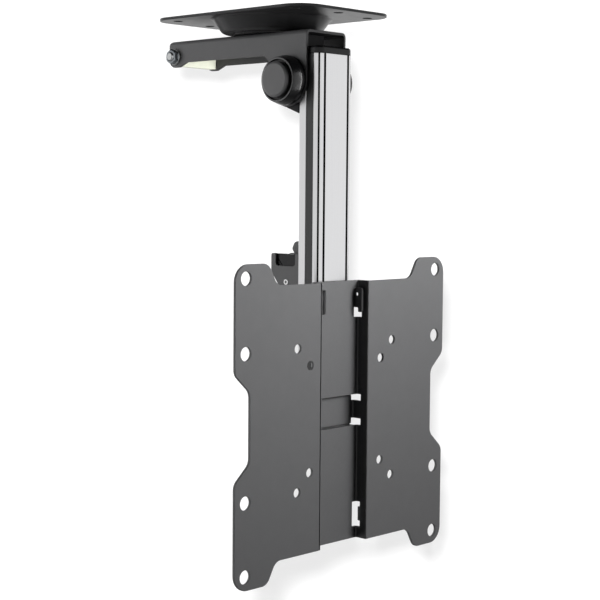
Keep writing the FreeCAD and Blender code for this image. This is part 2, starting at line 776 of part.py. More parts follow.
def catch_bracket():
    """Box of sheet on the column's back, its front wall running up as a foot for the screws."""
    half = catch_width / 2
    inner = half - catch_sheet
    front, back = column_rear_y, catch_back_y
    top, bottom = catch_top_z, catch_bottom_z
    outer_r = catch_sheet + catch_inner_r
    body = plan_prism([(-half, front), (half, front), (half, back, outer_r), (-half, back, outer_r)],
                      bottom, top)
    body = body.cut(plan_prism([(-inner, front + catch_sheet), (inner, front + catch_sheet),
                                (inner, back - catch_sheet, catch_inner_r),
                                (-inner, back - catch_sheet, catch_inner_r)],
                               bottom - 1, top + 1))
    silhouette = side_prism([(front, bottom), (back - catch_slope_run, bottom, catch_slope_r),
                             (back, bottom + catch_slope_rise, catch_slope_r),
                             (back, top, catch_corner_r), (front, top)], -half - 1, half + 1)
    body = body.common(silhouette)
    notch_low = top - catch_notch_depth
    notch_y = front + catch_notch_front
    notch_end = notch_y + catch_notch_width
    body = body.cut(side_prism([(notch_y, notch_low, catch_notch_r), (notch_end, notch_low, catch_notch_r),
                                (notch_end, top + 2), (notch_y, top + 2)], -half - 1, half + 1))
    slot_half = catch_slot_width / 2
    slot_low = top - catch_slot_depth
    body = body.cut(front_prism([(-slot_half, top + 1), (-slot_half, slot_low, catch_notch_r),
                                 (slot_half, slot_low, catch_notch_r), (slot_half, top + 1)],
                                notch_end, back + 1))
    foot_top = top + catch_foot_rise
    foot = front_prism([(-half, bottom), (half, bottom), (half, foot_top, catch_corner_r),
                        (-half, foot_top, catch_corner_r)], front, front + catch_sheet)
    body = body.fuse(foot).removeSplitter()
    for x, z in catch_screw_places():
        body = body.cut(rod_y(screw_r + screw_hole_clearance, front - 1, front + catch_sheet + 1, x, z))
    return body.cut(rod_x(latch_pin_r, -catch_width, catch_width, latch_pin_y, latch_pin_z))


def latch_hook():
    """Hand latch at rest, open: a boss on the pin, a finger tab and a hook that swings up to close."""
    half = latch_thickness / 2
    y0, z0 = latch_pin_y, latch_pin_z
    striker_tip_z = pivot_z - stop_bolt_reach - stop_block_rear - striker_reach
    striker_top_y = pivot_y + stop_bolt_above_pivot - stop_block_below_bolt + striker_low + striker_height
    hook_y = striker_top_y + latch_hook_gap
    hook_back = hook_y + latch_hook_thickness
    hook_top = striker_tip_z + latch_hook_rise
    boss = rod_x(latch_boss_r, -half, half, y0, z0)
    inner_z = striker_tip_z - latch_hook_gap
    outer_z = inner_z - latch_arm_thickness
    edge = latch_boss_r * diagonal
    hook = side_prism([(y0 + edge, z0 - edge), (hook_back, outer_z, latch_bend_r),
                       (hook_back, hook_top - edge_break_r, edge_break_r), (hook_y, hook_top),
                       (hook_y, inner_z, edge_break_r), (y0, z0 + latch_boss_r),
                       (y0 - latch_boss_r / 2, z0)], -half, half)
    hook = turned(hook, V(1, 0, 0), -latch_open_angle, V(0, y0, z0))
    top = z0 + latch_tab_height
    beak_z = top - latch_beak_drop
    back = y0 + latch_tab_back
    front = back - latch_tab_thickness
    tab = side_prism([(y0 - latch_neck_half, z0), (y0 + latch_neck_half, z0),
                      (back, z0 + 2 * latch_boss_r, latch_tab_neck_r),
                      (back, beak_z - latch_beak_drop, latch_beak_r),
                      (y0 + latch_beak_reach, beak_z - edge_break_r, latch_beak_r),
                      (back, top, latch_beak_r * 2), (front, top, latch_beak_r),
                      (front, z0 + 2 * latch_boss_r, latch_tab_neck_r)], -half, half)
    body = boss.fuse([tab, hook]).removeSplitter()
    return body.cut(rod_x(latch_pin_r + running_clearance, -catch_width, catch_width, y0, z0))


def latch_pin():
    half = catch_width / 2 + latch_pin_proud
    pin = rod_x(latch_pin_r, -half, half, latch_pin_y, latch_pin_z)
    ends = edges_where(pin, lambda edge: edge.BoundBox.XLength < 1e-3)
    pin = pin.makeChamfer(latch_pin_chamfer, ends)
    return pin.cut(rod_x(latch_pin_bore_r, -half - 1, half + 1, latch_pin_y, latch_pin_z))


def latch_guides():
    """Blocks on the pin that fill the bracket beside the latch, clear of the striker's way in."""
    inner = striker_width / 2 + latch_guide_gap
    outer = catch_width / 2 - catch_sheet
    front = column_rear_y + catch_sheet + latch_guide_front
    back = catch_back_y - latch_guide_back
    low, top = latch_pin_z - latch_guide_boss_r, catch_top_z - latch_guide_below_top
    guide = side_prism([(front, low, edge_break_r), (back - latch_guide_foot_run, low),
                        (back, low + latch_guide_foot_rise), (back, top, edge_break_r),
                        (front, top, latch_guide_corner_r)], inner, outer)
    boss_start = latch_thickness / 2 + friction_disc_play
    boss = rod_x(latch_guide_boss_r, boss_start, outer, latch_pin_y, latch_pin_z)
    guide = guide.fuse(boss).removeSplitter()
    bore = rod_x(latch_pin_r, 0, catch_width, latch_pin_y, latch_pin_z)
    return Part.makeCompound(both_sides(guide.cut(bore)))


# Hook head and screen plate

def hook_head():
    back = column_rear_y + hook_sheet
    sheet_front = plate_back_y - plate_sheet
    tip_y = plate_front_y + hook_tip_setback
    top, low = hook_top_z, hook_top_z - hook_cheek_height
    hook_low = top - hook_height
    half, inner, outer_r = hook_outer_half, hook_inner_half, hook_sheet + hook_inner_r
    body = plan_prism([(-half, tip_y), (half, tip_y), (half, back, outer_r), (-half, back, outer_r)],
                      low, top)
    body = body.cut(plan_prism([(-inner, tip_y - 1), (inner, tip_y - 1),
                                (inner, column_rear_y, hook_inner_r),
                                (-inner, column_rear_y, hook_inner_r)], low - 1, top + 1))
    saddle_front = sheet_front - hook_sheet_play
    cheek_front = plate_back_y + hook_sheet_play
    saddle_z = top - hook_saddle_drop
    silhouette = side_prism([
        (back + 1, low), (back + 1, top), (cheek_front, top, hook_corner_r), (cheek_front, saddle_z),
        (saddle_front, saddle_z), (saddle_front, top, edge_break_r), (tip_y, top, hook_corner_r),
        (tip_y, hook_low - hook_nose_drop, hook_corner_r),
        (tip_y + hook_nose_width, hook_low - hook_nose_drop, edge_break_r),
        (tip_y + hook_nose_width, hook_low, edge_break_r),
        (cheek_front, hook_low), (cheek_front, low, hook_heel_r)], -half - 1, half + 1)
    body = body.common(silhouette)
    web_low = low + hook_head_web_height
    body = body.cut(block(-hook_inner_half, hook_inner_half, column_rear_y - 1, back + 1, web_low, top + 1))
    for side in (-1, 1):
        body = body.cut(rod_x(hook_hole_r, side * half - hook_sheet - 1, side * half + hook_sheet + 1,
                              tip_y + hook_hole_forward, top - hook_hole_down))
    for x, z in hook_screw_places():
        body = body.cut(rod_y(screw_r + screw_hole_clearance, column_rear_y - 1, back + 1, x, z))
    return body


def plate_outline():
    half_w, half_h = plate_width / 2, plate_ear_height / 2
    middle, waist = plate_middle_height / 2, plate_waist_width / 2
    notch, foot = plate_waist_height / 2, plate_ear_foot_height / 2
    ear_in = half_w - plate_ear_top_width
    quarter = [(waist, notch, plate_notch_r), (half_w, foot, plate_notch_r),
               (half_w, half_h, plate_corner_r), (ear_in, half_h, plate_notch_r),
               (ear_in - plate_ear_slope, middle, plate_notch_r)]
    points = list(quarter)
    points += [(-x, z, r) for x, z, r in reversed(quarter)]
    points += [(-x, -z, r) for x, z, r in quarter]
    points += [(x, -z, r) for x, z, r in reversed(quarter)]
    return [(x, z + plate_centre_z, r) for x, z, r in points]


def channel_section(depth):
    """Section of the folded sheet in (x, y): wings in front, channel set back by depth."""
    front, rear = plate_front_y, plate_front_y + plate_sheet
    inner, outer = channel_width / 2, channel_width / 2 + plate_sheet
    floor, back = front + depth, front + depth + plate_sheet
    wing = plate_width / 2 + cut_margin
    small, large = channel_bend_r, channel_bend_r + plate_sheet
    return [(-wing, front), (-inner, front, large), (-inner, floor, small), (inner, floor, small),
            (inner, front, large), (wing, front), (wing, rear), (outer, rear, small), (outer, back, large),
            (-outer, back, large), (-outer, rear, small), (-wing, rear)]


def screen_plate():
    half_h = plate_ear_height / 2 + cut_margin
    strap = strap_height / 2
    zc = plate_centre_z
    lower = plan_prism(channel_section(channel_depth), zc - half_h, zc - strap)
    upper = plan_prism(channel_section(channel_depth), zc + strap, zc + half_h)
    middle = plan_prism(channel_section(channel_depth + strap_depth), zc - strap, zc + strap)
    half_step = channel_width / 2 - channel_bend_r
    step_front, step_rear = plate_back_y - plate_sheet / 2, plate_back_y + strap_depth
    steps = [block(-half_step, half_step, step_front, step_rear, zc - strap - strap_step, zc - strap),
             block(-half_step, half_step, step_front, step_rear, zc + strap, zc + strap + strap_step)]
    body = lower.fuse([middle, upper] + steps).removeSplitter()
    body = body.common(front_prism(plate_outline(), plate_cut_front_y, plate_cut_back_y))
    relief_front = plate_front_y + strap_relief_forward
    wall_x = channel_width / 2
    for side in (-1, 1):
        near = side * (wall_x - strap_relief_side)
        far = side * (wall_x + plate_sheet + 1)
        x_low, x_high = min(near, far), max(near, far)
        for z_low in (zc + strap - strap_relief_height, zc - strap):
            body = body.cut(block(x_low, x_high, relief_front, plate_cut_back_y, z_low,
                                  z_low + strap_relief_height))
        body = body.cut(hook_slot(side, 1))
        body = body.cut(hook_slot(side, -1))
        body = body.cut(fold_groove(side))
    strap_front = plate_front_y + channel_depth + strap_depth
    for z_low in (zc - strap, zc + strap - strap_groove_width):
        body = body.cut(block(-half_step, half_step, strap_front - plate_sheet,
                              strap_front + strap_groove_depth, z_low, z_low + strap_groove_width))
    for x, z, radius in plate_holes():
        body = body.cut(rod_y(radius, plate_cut_front_y, plate_back_y, x, z + zc))
    return body


def fold_groove(side):
    """Line scored down the round of a wing's fold."""
    round_r = channel_bend_r + plate_sheet
    half = fold_groove_width / 2
    line = block(-half, half, -round_r - 1, fold_groove_depth - round_r,
                 plate_centre_z - plate_ear_height, plate_centre_z + plate_ear_height)
    line.rotate(V(0, 0, 0), V(0, 0, 1), -side * fold_groove_angle)
    line.translate(V(side * (channel_width / 2 + round_r), plate_front_y + round_r, 0))
    return line


def hook_slot(side, up):
    """C-shaped opening across the channel's rear fold, with a tongue of wall left in its middle."""
    low = slot_bottom_up
    high = low + slot_height
    z_ends = sorted((plate_centre_z + up * low, plate_centre_z + up * high))
    floor_y = plate_front_y + channel_depth
    deep_y, shallow_y = floor_y - slot_wall_deep, floor_y - slot_wall_shallow
    near = side * slot_side
    wall = side * (channel_width / 2 + plate_sheet + 1)
    x_low, x_high = min(near, wall), max(near, wall)
    opening = block(x_low, x_high, shallow_y, floor_y + plate_sheet + 1, z_ends[0], z_ends[1])
    inner = side * (channel_width / 2 - plate_sheet)
    wall_low, wall_high = min(inner, wall), max(inner, wall)
    step_high = slot_step_top if up < 0 else slot_step_bottom
    step_low = slot_step_bottom if up < 0 else slot_step_top
    upper_step = block(wall_low, wall_high, deep_y, floor_y, z_ends[1] - step_high, z_ends[1])
    lower_step = block(wall_low, wall_high, deep_y, floor_y, z_ends[0], z_ends[0] + step_low)
    return opening.fuse([upper_step, lower_step])


def plate_holes():
    holes = []
    for sx in (-1, 1):
        for sz in (-1, 1):
            holes.append((sx * vesa_wide / 2, sz * vesa_wide / 2, outer_hole_r))
            holes.append((sx * vesa_wide / 2, sz * vesa_middle / 2, outer_hole_r))
            holes.append((sx * vesa_middle / 2, sz * vesa_middle / 2, inner_hole_r))
            holes.append((sx * vesa_small / 2, sz * vesa_small / 2, inner_hole_r))
    return holes


def build():
    parts = {"ceiling_plate": ceiling_plate(), "arm_channel": arm_channel()}
    parts.update(swivel_parts())
    parts.update(pivot_parts())
    parts.update(stop_parts())
    strip = side_strip()
    parts["column_profile"] = column_profile()
    parts["side_strip_right"] = strip
    parts["side_strip_left"] = mirrored(strip)
    parts["column_top_cap"] = column_cap(column_top_z, cap_height_top, 1)
    parts["column_bottom_cap"] = column_cap(column_bottom_z, cap_height_bottom, -1)
    parts["column_yoke"] = yoke()
    parts["yoke_screws"] = button_screws(yoke_screw_places(), column_rear_y + yoke_sheet)
    parts["yoke_nut_bar"] = nut_bar(yoke_screw_places())
    parts["catch_bracket"] = catch_bracket()
    parts["catch_screws"] = button_screws(catch_screw_places(), column_rear_y + catch_sheet)
    parts["latch_hook"] = latch_hook()
    parts["latch_pin"] = latch_pin()
    parts["latch_guides"] = latch_guides()
    parts["hook_head"] = hook_head()
    parts["hook_head_screws"] = button_screws(hook_screw_places(), column_rear_y + hook_sheet)
    parts["catch_nut_bar"] = nut_bar(catch_screw_places())
    parts["hook_nut_bar"] = nut_bar(hook_screw_places())
    parts["screen_plate"] = screen_plate()
    return parts


os.makedirs("parts", exist_ok=True)
for node, shape in build().items():
    shape.exportStep(os.path.join("parts", node + ".step"))
    solids = len(shape.Solids)
    print(node, "solids", solids, "valid", shape.isValid(), "volume cm3", round(shape.Volume / 1000, 3))
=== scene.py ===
import math

import bpy
from mathutils import Matrix, Vector


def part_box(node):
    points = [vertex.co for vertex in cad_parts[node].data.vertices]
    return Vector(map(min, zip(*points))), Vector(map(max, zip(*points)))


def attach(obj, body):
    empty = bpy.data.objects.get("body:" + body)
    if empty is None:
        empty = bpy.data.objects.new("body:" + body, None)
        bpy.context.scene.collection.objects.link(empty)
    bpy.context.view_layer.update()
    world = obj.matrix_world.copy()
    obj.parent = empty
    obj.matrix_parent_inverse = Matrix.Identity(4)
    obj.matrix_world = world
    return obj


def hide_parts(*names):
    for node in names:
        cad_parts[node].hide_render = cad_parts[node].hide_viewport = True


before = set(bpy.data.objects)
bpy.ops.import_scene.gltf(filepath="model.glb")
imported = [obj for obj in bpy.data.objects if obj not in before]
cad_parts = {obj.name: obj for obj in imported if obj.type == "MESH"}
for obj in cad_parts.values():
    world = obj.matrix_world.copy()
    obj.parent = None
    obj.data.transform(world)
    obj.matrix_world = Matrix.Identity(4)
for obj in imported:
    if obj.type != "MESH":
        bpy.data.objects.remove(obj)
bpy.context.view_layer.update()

bl_info = {
    "name": "Folding Ceiling Mount",
    "version": (1, 0, 0),
    "blender": (4, 5, 0),
    "location": "View3D > Sidebar > Ceiling Mount",
    "description": "Dresses a folding ceiling mount for a small screen and sets up its studio",
    "category": "Object",
}

MM = 0.001
WHOLE_TURN = 2 * math.pi
X_AXIS, Z_AXIS = Vector((1, 0, 0)), Vector((0, 0, 1))
SIDES = ((-1, "left"), (1, "right"))
MERGE_DISTANCE = 0.002 * MM
FLAT_ANGLE = math.radians(0.6)
SHARP_ANGLE = math.radians(32)
CROWN_ANGLE = math.radians(30)
CROWN_SHARE = 0.97
MOUTH_SHARE = 0.16
THREAD_SHARE = 0.45


# Sizes and colours that a user would change

class MountSizes(bpy.types.PropertyGroup):
    sheet_edge: bpy.props.FloatProperty(
        name="Sheet edge", description="Round left on the coated sheet's cut edges",
        default=0.28 * MM, min=0.02 * MM, max=0.6 * MM, precision=5, unit="LENGTH")
    profile_edge: bpy.props.FloatProperty(
        name="Profile edge", description="Round on the edges of the aluminium profile",
        default=0.22 * MM, min=0.02 * MM, max=0.4 * MM, precision=5, unit="LENGTH")
    front_groove: bpy.props.FloatProperty(
        name="Front groove", description="Width of the two grooves down the column's front",
        default=1.7 * MM, min=0.5 * MM, max=2.5 * MM, precision=5, unit="LENGTH")
    channel_forward: bpy.props.FloatProperty(
        name="Side channel forward",
        description="How far the column's side strips sit in front of the CAD's",
        default=1.6 * MM, min=0, max=3 * MM, precision=5, unit="LENGTH")
    wall_inward: bpy.props.FloatProperty(
        name="Channel wall inward",
        description="How far the screen plate's right wall sits inside the CAD's",
        default=1.2 * MM, min=0, max=2 * MM, precision=5, unit="LENGTH")
    moulding_edge: bpy.props.FloatProperty(
        name="Moulding edge", description="Round on the edges of plastic mouldings",
        default=0.3 * MM, min=0.02 * MM, max=0.6 * MM, precision=5, unit="LENGTH")
    fastener_edge: bpy.props.FloatProperty(
        name="Fastener edge", description="Round on the edges of nuts, washers and bolt heads",
        default=0.15 * MM, min=0.02 * MM, max=0.3 * MM, precision=5, unit="LENGTH")
    thread_pitch_small: bpy.props.FloatProperty(
        name="Small thread pitch", description="Thread pitch of the stop bolt",
        default=1.0 * MM, min=0.5 * MM, max=1.5 * MM, precision=5, unit="LENGTH")
    thread_pitch_large: bpy.props.FloatProperty(
        name="Large thread pitch", description="Thread pitch of the swivel bolt",
        default=1.75 * MM, min=1.0 * MM, max=2.5 * MM, precision=5, unit="LENGTH")
    turning_steps: bpy.props.IntProperty(
        name="Turning steps", description="Steps round a turned piece",
        default=96, min=24, max=192)


class MountColours(bpy.types.PropertyGroup):
    powder: bpy.props.FloatVectorProperty(
        name="Powder coat", description="Colour of the coated sheet steel",
        default=(0.085, 0.085, 0.087), min=0, max=1, subtype="COLOR")
    aluminium: bpy.props.FloatVectorProperty(
        name="Aluminium", description="Colour of the satin column profile",
        default=(0.79, 0.79, 0.8), min=0, max=1, subtype="COLOR")
    zinc: bpy.props.FloatVectorProperty(
        name="Zinc", description="Colour of the plated fasteners",
        default=(0.62, 0.63, 0.63), min=0, max=1, subtype="COLOR")
    blue_zinc: bpy.props.FloatVectorProperty(
        name="Blue zinc", description="Colour of the darker lock nut",
        default=(0.27, 0.29, 0.31), min=0, max=1, subtype="COLOR")
    steel: bpy.props.FloatVectorProperty(
        name="Bright steel", description="Colour of the latch pin",
        default=(0.85, 0.85, 0.85), min=0, max=1, subtype="COLOR")
    # A darker, glossier copy of the powder coat: the gloss is the plate's finish, the darkness is
    # painted shade for the plate's underside
    satin: bpy.props.FloatVectorProperty(
        name="Satin coat", description="Colour of the coated ceiling plate",
        default=(0.032, 0.032, 0.033), min=0, max=1, subtype="COLOR")
    # Painted shade: a near-black copy of the powder coat for the yoke inside the arm, the arm's
    # inner faces and the column's grooves, all of which stand in shadow
    painted_shade_colour: bpy.props.FloatVectorProperty(
        name="Painted shade coat", description="Colour of the coated yoke inside the arm",
        default=(0.02, 0.02, 0.021), min=0, max=1, subtype="COLOR")
    plastic: bpy.props.FloatVectorProperty(
        name="Black plastic", description="Colour of the pivot covers and the column's caps",
        default=(0.012, 0.012, 0.013), min=0, max=1, subtype="COLOR")
    # Also painted onto the pivot covers' rims as a highlight line
    button: bpy.props.FloatVectorProperty(
        name="Pivot buttons", description="Colour of the round caps in the pivot covers",
        default=(0.08, 0.08, 0.082), min=0, max=1, subtype="COLOR")
    strip: bpy.props.FloatVectorProperty(
        name="Strip", description="Colour of the strips in the column's sides",
        default=(0.022, 0.022, 0.023), min=0, max=1, subtype="COLOR")
    cream: bpy.props.FloatVectorProperty(
        name="Stop block", description="Colour of the moulded stop block",
        default=(0.79, 0.81, 0.672), min=0, max=1, subtype="COLOR")
    slip: bpy.props.FloatVectorProperty(
        name="Friction discs", description="Colour of the pivot's friction discs",
        default=(0.8, 0.8, 0.76), min=0, max=1, subtype="COLOR")


class MountStudio(bpy.types.PropertyGroup):
    lens: bpy.props.FloatProperty(
        name="Lens", description="Focal length of the camera, in millimetres on a 36 mm sensor",
        default=88.67, min=20, max=300)
    camera_place: bpy.props.FloatVectorProperty(
        name="Camera", description="Place of the camera", default=(-0.7812, -0.7706, -0.1303),
        precision=4, subtype="TRANSLATION", unit="LENGTH")
    wall_distance: bpy.props.FloatProperty(
        name="Wall distance", description="Distance of the pale wall behind the swivel's axis",
        default=0.42, unit="LENGTH")
    glint_power: bpy.props.FloatProperty(
        name="Glint lamp", default=9.0,
        description="Power of the strip that puts a glint on the pivot cover, in watts")
    block_power: bpy.props.FloatProperty(
        name="Block lamp", default=11.9,
        description="Power of the lamp on the pale stop block, in watts")
    key_power: bpy.props.FloatProperty(
        name="Key box", default=3.1,
        description="Power of the box that lights the screen plate from above, in watts")
    front_power: bpy.props.FloatProperty(
        name="Front box", default=5.8,
        description="Power of the soft box low on the plate's right, in watts")
    side_power: bpy.props.FloatProperty(
        name="Side box", default=10.4,
        description="Power of the soft box on the column's left, in watts")
    low_side_power: bpy.props.FloatProperty(
        name="Low side box", default=1.8,
        description="Power of the soft box low on the left, in watts")
    rear_power: bpy.props.FloatProperty(
        name="Rear boxes", default=4.2,
        description="Power of each soft box behind, and half that of the one above, in watts")
    wall_power: bpy.props.FloatProperty(
        name="Wall lamp", default=32.0,
        description="Power of the small lamp that lights only the wall, in watts")
    wall_glow: bpy.props.FloatProperty(
        name="Wall glow", default=0.66, min=0,
        description="Brightness that the wall keeps in the shadow")
    world_light: bpy.props.FloatProperty(
        name="World light", description="Strength of the world's soft light", default=0.005, min=0)


# Shader maths

class Wire:
    """A shader value that can be written into sums, which adds Math nodes."""

    def __init__(self, finish, socket):
        self.finish, self.socket = finish, socket

    def maths(self, operation, first, second):
        return self.finish.node("ShaderNodeMath", {"operation": operation}, {0: first, 1: second})

    def __add__(self, other):
        return self.maths("ADD", self, other)

    def __sub__(self, other):
        return self.maths("SUBTRACT", self, other)

    def __rsub__(self, other):
        return self.maths("SUBTRACT", other, self)

    def __mul__(self, other):
        return self.maths("MULTIPLY", self, other)

    __radd__ = __add__
    __rmul__ = __mul__


class Finish:
    """One material or world and its nodes."""

    def __init__(self, owner):
        owner.use_nodes = True
        self.owner, self.tree = owner, owner.node_tree
        self.tree.nodes.clear()

    def node(self, kind, settings=None, inputs=None, output=0):
        made = self.tree.nodes.new(kind)
        for name, value in (settings or {}).items():
            setattr(made, name, value)
        for name, value in (inputs or {}).items():
            if isinstance(value, Wire):
                self.tree.links.new(value.socket, made.inputs[name])
            else:
                made.inputs[name].default_value = value
        return Wire(self, made.outputs[output]) if made.outputs else made

    def noise(self, size, detail=2.0, stretch=(1, 1, 1)):
        """Noise with blotches about size metres across, drawn out along an axis by its stretch."""
        place = self.node("ShaderNodeTexCoord", output="Object")
        mapped = self.node("ShaderNodeMapping", {}, {
            "Vector": place, "Scale": [1 / (size * drawn) for drawn in stretch]})
        return self.node("ShaderNodeTexNoise", {}, {
            "Vector": mapped, "Scale": 1.0, "Detail": detail, "Roughness": 0.55}, "Fac")

    def along(self, direction, axis):
        """How far a direction points along an axis."""
        return self.node("ShaderNodeVectorMath", {"operation": "DOT_PRODUCT"}, {
            0: direction, 1: tuple(axis)}, "Value")

    def rise(self, value, low, high):
        """0 below low, 1 above high and a smooth step between them."""
        return self.node("ShaderNodeMapRange", {"interpolation_type": "SMOOTHSTEP"}, {
            "Value": value, "From Min": low, "From Max": high})

    def tinted(self, colour, change):
        """The colour made lighter and darker by a value round zero."""
        return self.node("ShaderNodeVectorMath", {"operation": "SCALE"}, {
            0: tuple(colour), "Scale": change + 1.0}, "Vector")

    def bump(self, height, depth, strength):
        return self.node("ShaderNodeBump", {}, {
            "Height": height, "Distance": depth, "Strength": strength})

    def surface(self, **inputs):
        values = {name.replace("_", " "): value for name, value in inputs.items()}
        shader = self.node("ShaderNodeBsdfPrincipled", {}, values)
        self.node("ShaderNodeOutputMaterial", {}, {"Surface": shader})
        return self.owner


def new_finish(name):
    return Finish(bpy.data.materials.new(name))


def powder_coat(name, colour, roughness=0.45, gloss=0.3):
    """Fine matt powder coat: a dense pimpled skin with faint cloudiness."""
    finish = new_finish(name)
    cloud = finish.noise(9 * MM) - 0.5
    pimples = finish.noise(0.45 * MM, 1.0)
    return finish.surface(
        Base_Color=finish.tinted(colour, cloud * 0.16 + (pimples - 0.5) * 0.3),
        Roughness=cloud * 0.08 + roughness, IOR=1.5, Specular_IOR_Level=gloss,
        Normal=finish.bump(pimples, 0.03 * MM, 0.5))


def satin_aluminium(colours):
    """Drawn and anodised profile: fine grain with faint lines along its length."""
    finish = new_finish("satin aluminium")
    lines = finish.noise(0.35 * MM, 2.0, (1, 1, 140)) - 0.5
    speckle = finish.noise(0.7 * MM, 3.0) - 0.5
    return finish.surface(
        Base_Color=finish.tinted(colours.aluminium, lines * 0.1 + speckle * 0.1),
        Metallic=1.0, Roughness=lines * 0.12 + speckle * 0.1 + 0.36,
        Normal=finish.bump(lines + speckle, 0.012 * MM, 0.5))


def zinc_plate(name, colour):
    """Zinc plated steel, cloudy and unevenly bright."""
    finish = new_finish(name)
    cloud = finish.noise(2.2 * MM, 3.0)
    return finish.surface(
        Base_Color=finish.tinted(colour, (cloud - 0.5) * 0.5),
        Metallic=1.0, Roughness=cloud * 0.25 + 0.16,
        Normal=finish.bump(finish.noise(0.5 * MM), 0.01 * MM, 0.4))


def bright_steel(colours):
    """Ground steel pin: bright, with fine rings left by grinding."""
    finish = new_finish("bright steel")
    rings = finish.noise(0.2 * MM, 2.0, (1, 8, 8)) - 0.5
    return finish.surface(
        Base_Color=finish.tinted(colours.steel, rings * 0.16), Metallic=1.0,
        Roughness=rings * 0.12 + 0.2, Normal=finish.bump(rings, 0.005 * MM, 0.4))


def moulded_plastic(name, colour, roughness, texture, gloss=0.5):
    """Moulded plastic with a fine spark-worn skin."""
    finish = new_finish(name)
    skin = finish.noise(0.4 * MM, 1.0)
    cloud = finish.noise(6 * MM) - 0.5
    return finish.surface(
        Base_Color=finish.tinted(colour, cloud * 0.12 + (skin - 0.5) * 0.1),
        Roughness=cloud * 0.08 + roughness, IOR=1.5, Specular_IOR_Level=gloss,
        Normal=finish.bump(skin, texture, 0.5))


def make_finishes():
    colours = bpy.context.scene.mount_colours
    return {
        "black_steel": powder_coat("powder coat", colours.powder),
        "satin_shaded_steel": powder_coat("satin powder coat with painted shade", colours.satin, 0.3, 0.22),
        # Painted shade: the near-black coat goes on faces that stand in shadow
        "painted_shade_steel": powder_coat("painted shade coat", colours.painted_shade_colour, 0.5, 0.12),
        "aluminium": satin_aluminium(colours),
        "zinc": zinc_plate("zinc plate", colours.zinc),
        "blue_zinc": zinc_plate("blue zinc plate", colours.blue_zinc),
        "bright_steel": bright_steel(colours),
        "black_plastic": moulded_plastic("black plastic", colours.plastic, 0.25, 0.004 * MM, 0.25),
        "button_and_rim_highlight_plastic": moulded_plastic("button plastic and painted rim highlight", colours.button, 0.32, 0.01 * MM),
        "strip_plastic": moulded_plastic("strip plastic", colours.strip, 0.42, 0.01 * MM),
        "cream_plastic": moulded_plastic("cream plastic", colours.cream, 0.4, 0.008 * MM),
        "slip_plastic": moulded_plastic("slip plastic", colours.slip, 0.35, 0.008 * MM),
    }


FINISHES = {}


def finish_named(name):
    if not FINISHES:
        FINISHES.update(make_finishes())
    return FINISHES[name]


# Modelling helpers

def sizes():
    return bpy.context.scene.mount_sizes


def only(piece):
    """Deselects everything else, and makes this piece the active one."""
    bpy.ops.object.select_all(action="DESELECT")
    piece.select_set(True)
    bpy.context.view_layer.objects.active = piece


def named(name):
    """The object that was just added, under its own name."""
    piece = bpy.context.object
    piece.name = piece.data.name = name
    return piece


def applied(piece, kind, **settings):
    only(piece)
    modifier = piece.modifiers.new(kind.title(), kind)
    for name, value in settings.items():
        setattr(modifier, name, value)
    bpy.ops.object.modifier_apply(modifier=modifier.name)
    return piece


def cut(piece, cutter, operation="DIFFERENCE"):
    """Cuts a piece with another one, which is then removed."""
    applied(piece, "BOOLEAN", object=cutter, operation=operation, solver="EXACT")
    bpy.data.meshes.remove(cutter.data)
    return piece


def rounded_edges(piece, width, segments=2):
    """Rounds the sharp edges and keeps the flat faces shaded flat."""
    applied(piece, "BEVEL", width=width, segments=segments, limit_method="ANGLE",
            angle_limit=SHARP_ANGLE, use_clamp_overlap=False, miter_outer="MITER_ARC")
    only(piece)
    bpy.ops.object.shade_smooth()
    applied(piece, "WEIGHTED_NORMAL", keep_sharp=False, weight=50)
    return piece


def settled(piece, body, slot, nodes, finish=None):
    """Gives a finished piece its place, finish and body, and hides the CAD nodes that it stands
    for.
    """
    only(piece)
    bpy.ops.object.transform_apply(location=True, rotation=True, scale=True)
    piece.data.materials.clear()
    piece.data.materials.append(finish_named(finish or slot))
    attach(piece, body)
    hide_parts(*nodes)
    return piece


def merged_copy(node, name):
    """A copy of a CAD node whose flat faces are whole again."""
    piece = bpy.data.objects.new(name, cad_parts[node].data.copy())
    bpy.context.collection.objects.link(piece)
    only(piece)
    bpy.ops.mesh.customdata_custom_splitnormals_clear()
    bpy.ops.object.mode_set(mode="EDIT")
    bpy.ops.mesh.select_all(action="SELECT")
    bpy.ops.mesh.remove_doubles(threshold=MERGE_DISTANCE)
    bpy.ops.mesh.dissolve_limited(angle_limit=FLAT_ANGLE)
    bpy.ops.object.mode_set(mode="OBJECT")
    return piece


def softened(node, name, body, slot, width, finish=None, shaped=None):
    """A copy of a CAD node with its cut edges rounded as coating or handling leaves them."""
    piece = merged_copy(node, name)
    if shaped:
        shaped(piece)
    rounded_edges(piece, width)
    return settled(piece, body, slot, [node], finish)


def shifted(piece, rule):
    """Moves each corner of a piece by a rule, and merges what meets."""
    only(piece)
    for vertex in piece.data.vertices:
        vertex.co = rule(vertex.co.copy())
    bpy.ops.object.mode_set(mode="EDIT")
    bpy.ops.mesh.select_all(action="SELECT")
    bpy.ops.mesh.remove_doubles(threshold=MERGE_DISTANCE)
    bpy.ops.mesh.dissolve_degenerate(threshold=MERGE_DISTANCE)
    bpy.ops.object.mode_set(mode="OBJECT")


def refinished(piece, finish, inside):
    """Gives the faces that lie inside a shape another material: painted shade, such as on the floor
    of a groove, or a painted highlight.
    """
    piece.data.materials.append(finish_named(finish))
    for face in piece.data.polygons:
        if inside(face.center, face.normal):
            face.material_index = len(piece.data.materials) - 1


